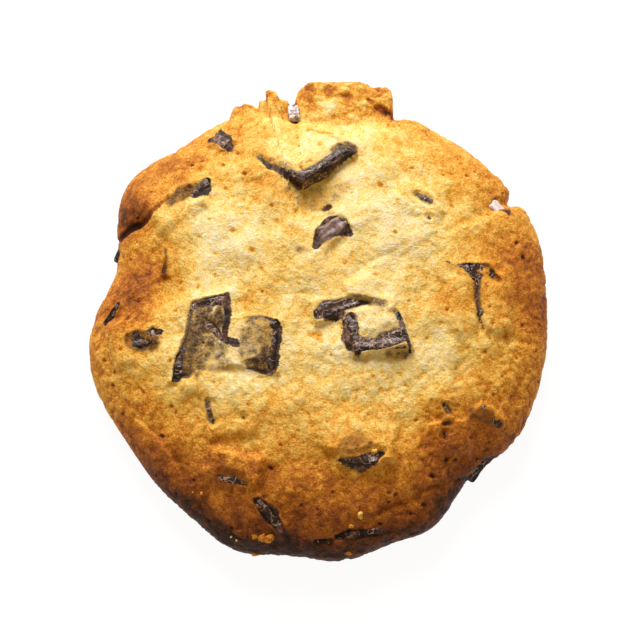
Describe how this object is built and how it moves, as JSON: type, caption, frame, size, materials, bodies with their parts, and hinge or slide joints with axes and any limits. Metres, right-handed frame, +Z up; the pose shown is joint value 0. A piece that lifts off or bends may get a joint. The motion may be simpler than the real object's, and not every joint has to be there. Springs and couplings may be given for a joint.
{
  "type": "chocolate chunk cookie",
  "caption": "Thick round baked cookie with an uneven domed top, a browned rim, a rough crust flap on one side and broken chocolate blocks set in the dough.",
  "frame": {"origin": "centre of the outline's box on the flat underside", "axes": "+Z up through the domed top; +Y towards the rough crust flap, away from the side that is seen; +X to the right"},
  "size_m": [0.0801, 0.0868, 0.0157],
  "materials": {
    "dough": "matt baked dough, pale yellow on top, browned to the rim and the underside",
    "chocolate": "satin dark chocolate, glossy where it melted"
  },
  "bodies": {
    "root": {"dough": "dough", "chunk_ridge": "chocolate", "chunk_wedge": "chocolate", "chunk_upper_left": "chocolate", "chunk_crease": "chocolate", "chunk_left_sliver": "chocolate", "chunk_left_slit": "chocolate", "chunk_mottled": "chocolate", "chunk_slab": "chocolate", "chunk_pane": "chocolate", "chunk_block": "chocolate", "chunk_shadow": "chocolate", "chunk_tee": "chocolate", "chunk_upper_right": "chocolate", "chunk_lower_wedge": "chocolate", "chunk_streak": "chocolate", "chunk_lower_left": "chocolate", "chunk_flecked": "chocolate", "chunk_right": "chocolate", "chunk_ghost": "chocolate", "chunk_edge_left": "chocolate", "chunk_edge_notch": "chocolate", "chunk_edge_lower_right": "chocolate", "chunk_edge_low_left": "chocolate", "chunk_edge_low_right": "chocolate", "chunk_edge_far": "chocolate"}
  },
  "joints": []
}
